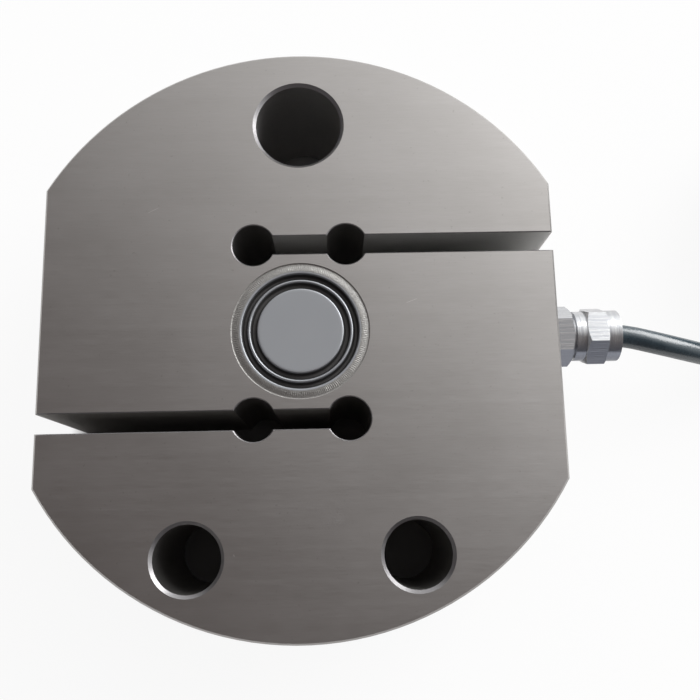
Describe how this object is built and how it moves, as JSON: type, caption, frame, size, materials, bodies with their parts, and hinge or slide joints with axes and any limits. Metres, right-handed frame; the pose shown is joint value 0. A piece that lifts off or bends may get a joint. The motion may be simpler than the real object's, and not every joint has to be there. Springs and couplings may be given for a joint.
{
  "type": "s type load cell",
  "caption": "Round flat-sided steel S type load cell with S slots, sealed gauge bore, through mounting holes, cable gland and coiled lead.",
  "frame": {"origin": "centre of the disc on its rear face", "axes": "+Z through the thickness towards the front face, +Y towards the large hole, +X towards the cable gland"},
  "size_m": [0.2248, 0.1259, 0.036],
  "materials": {
    "ground_steel": "ground, satin",
    "diaphragm_steel": "smooth stainless sheet",
    "weld": "rippled weld bead",
    "plated_gland": "bright nickel plate",
    "seal_rubber": "matt black",
    "clamp_plastic": "natural nylon",
    "gauge_foil": "polyimide film with foil grid",
    "board_green": "solder mask",
    "silicone": "cured silicone",
    "resistor": "chip resistor",
    "wire_enamel": "enamelled wire",
    "cable_jacket": "glossy blue-black jacket",
    "tie_plastic": "black strap",
    "shrink_sleeve": "shrink sleeve",
    "core_red": "red insulation",
    "core_black": "black insulation",
    "core_green": "green insulation",
    "core_white": "white insulation",
    "screen_wire": "tinned copper strands"
  },
  "bodies": {
    "root": {"spring_element": "ground_steel", "front_diaphragm": "diaphragm_steel", "rear_diaphragm": "diaphragm_steel", "front_weld_bead": "weld", "rear_weld_bead": "weld", "gauge_upper_right": "gauge_foil", "gauge_upper_left": "gauge_foil", "gauge_lower_left": "gauge_foil", "gauge_lower_right": "gauge_foil", "bridge_board": "board_green", "board_bond": "silicone", "balance_resistors": "resistor", "gauge_leads": "wire_enamel", "core_red": "core_red", "core_black": "core_black", "core_green": "core_green", "core_white": "core_white", "gland_body": "plated_gland", "gland_o_ring": "seal_rubber", "gland_seal": "seal_rubber", "gland_clamp_ring": "clamp_plastic", "gland_nut": "plated_gland", "cable_entry": "cable_jacket", "cable_lead": "cable_jacket", "cable_coil": "cable_jacket", "coil_tie_left": "tie_plastic", "coil_tie_right": "tie_plastic", "end_sleeve": "shrink_sleeve", "tail_core_red": "core_red", "tail_core_black": "core_black", "tail_core_green": "core_green", "tail_core_white": "core_white", "tail_screen_wire": "screen_wire"}
  },
  "joints": []
}
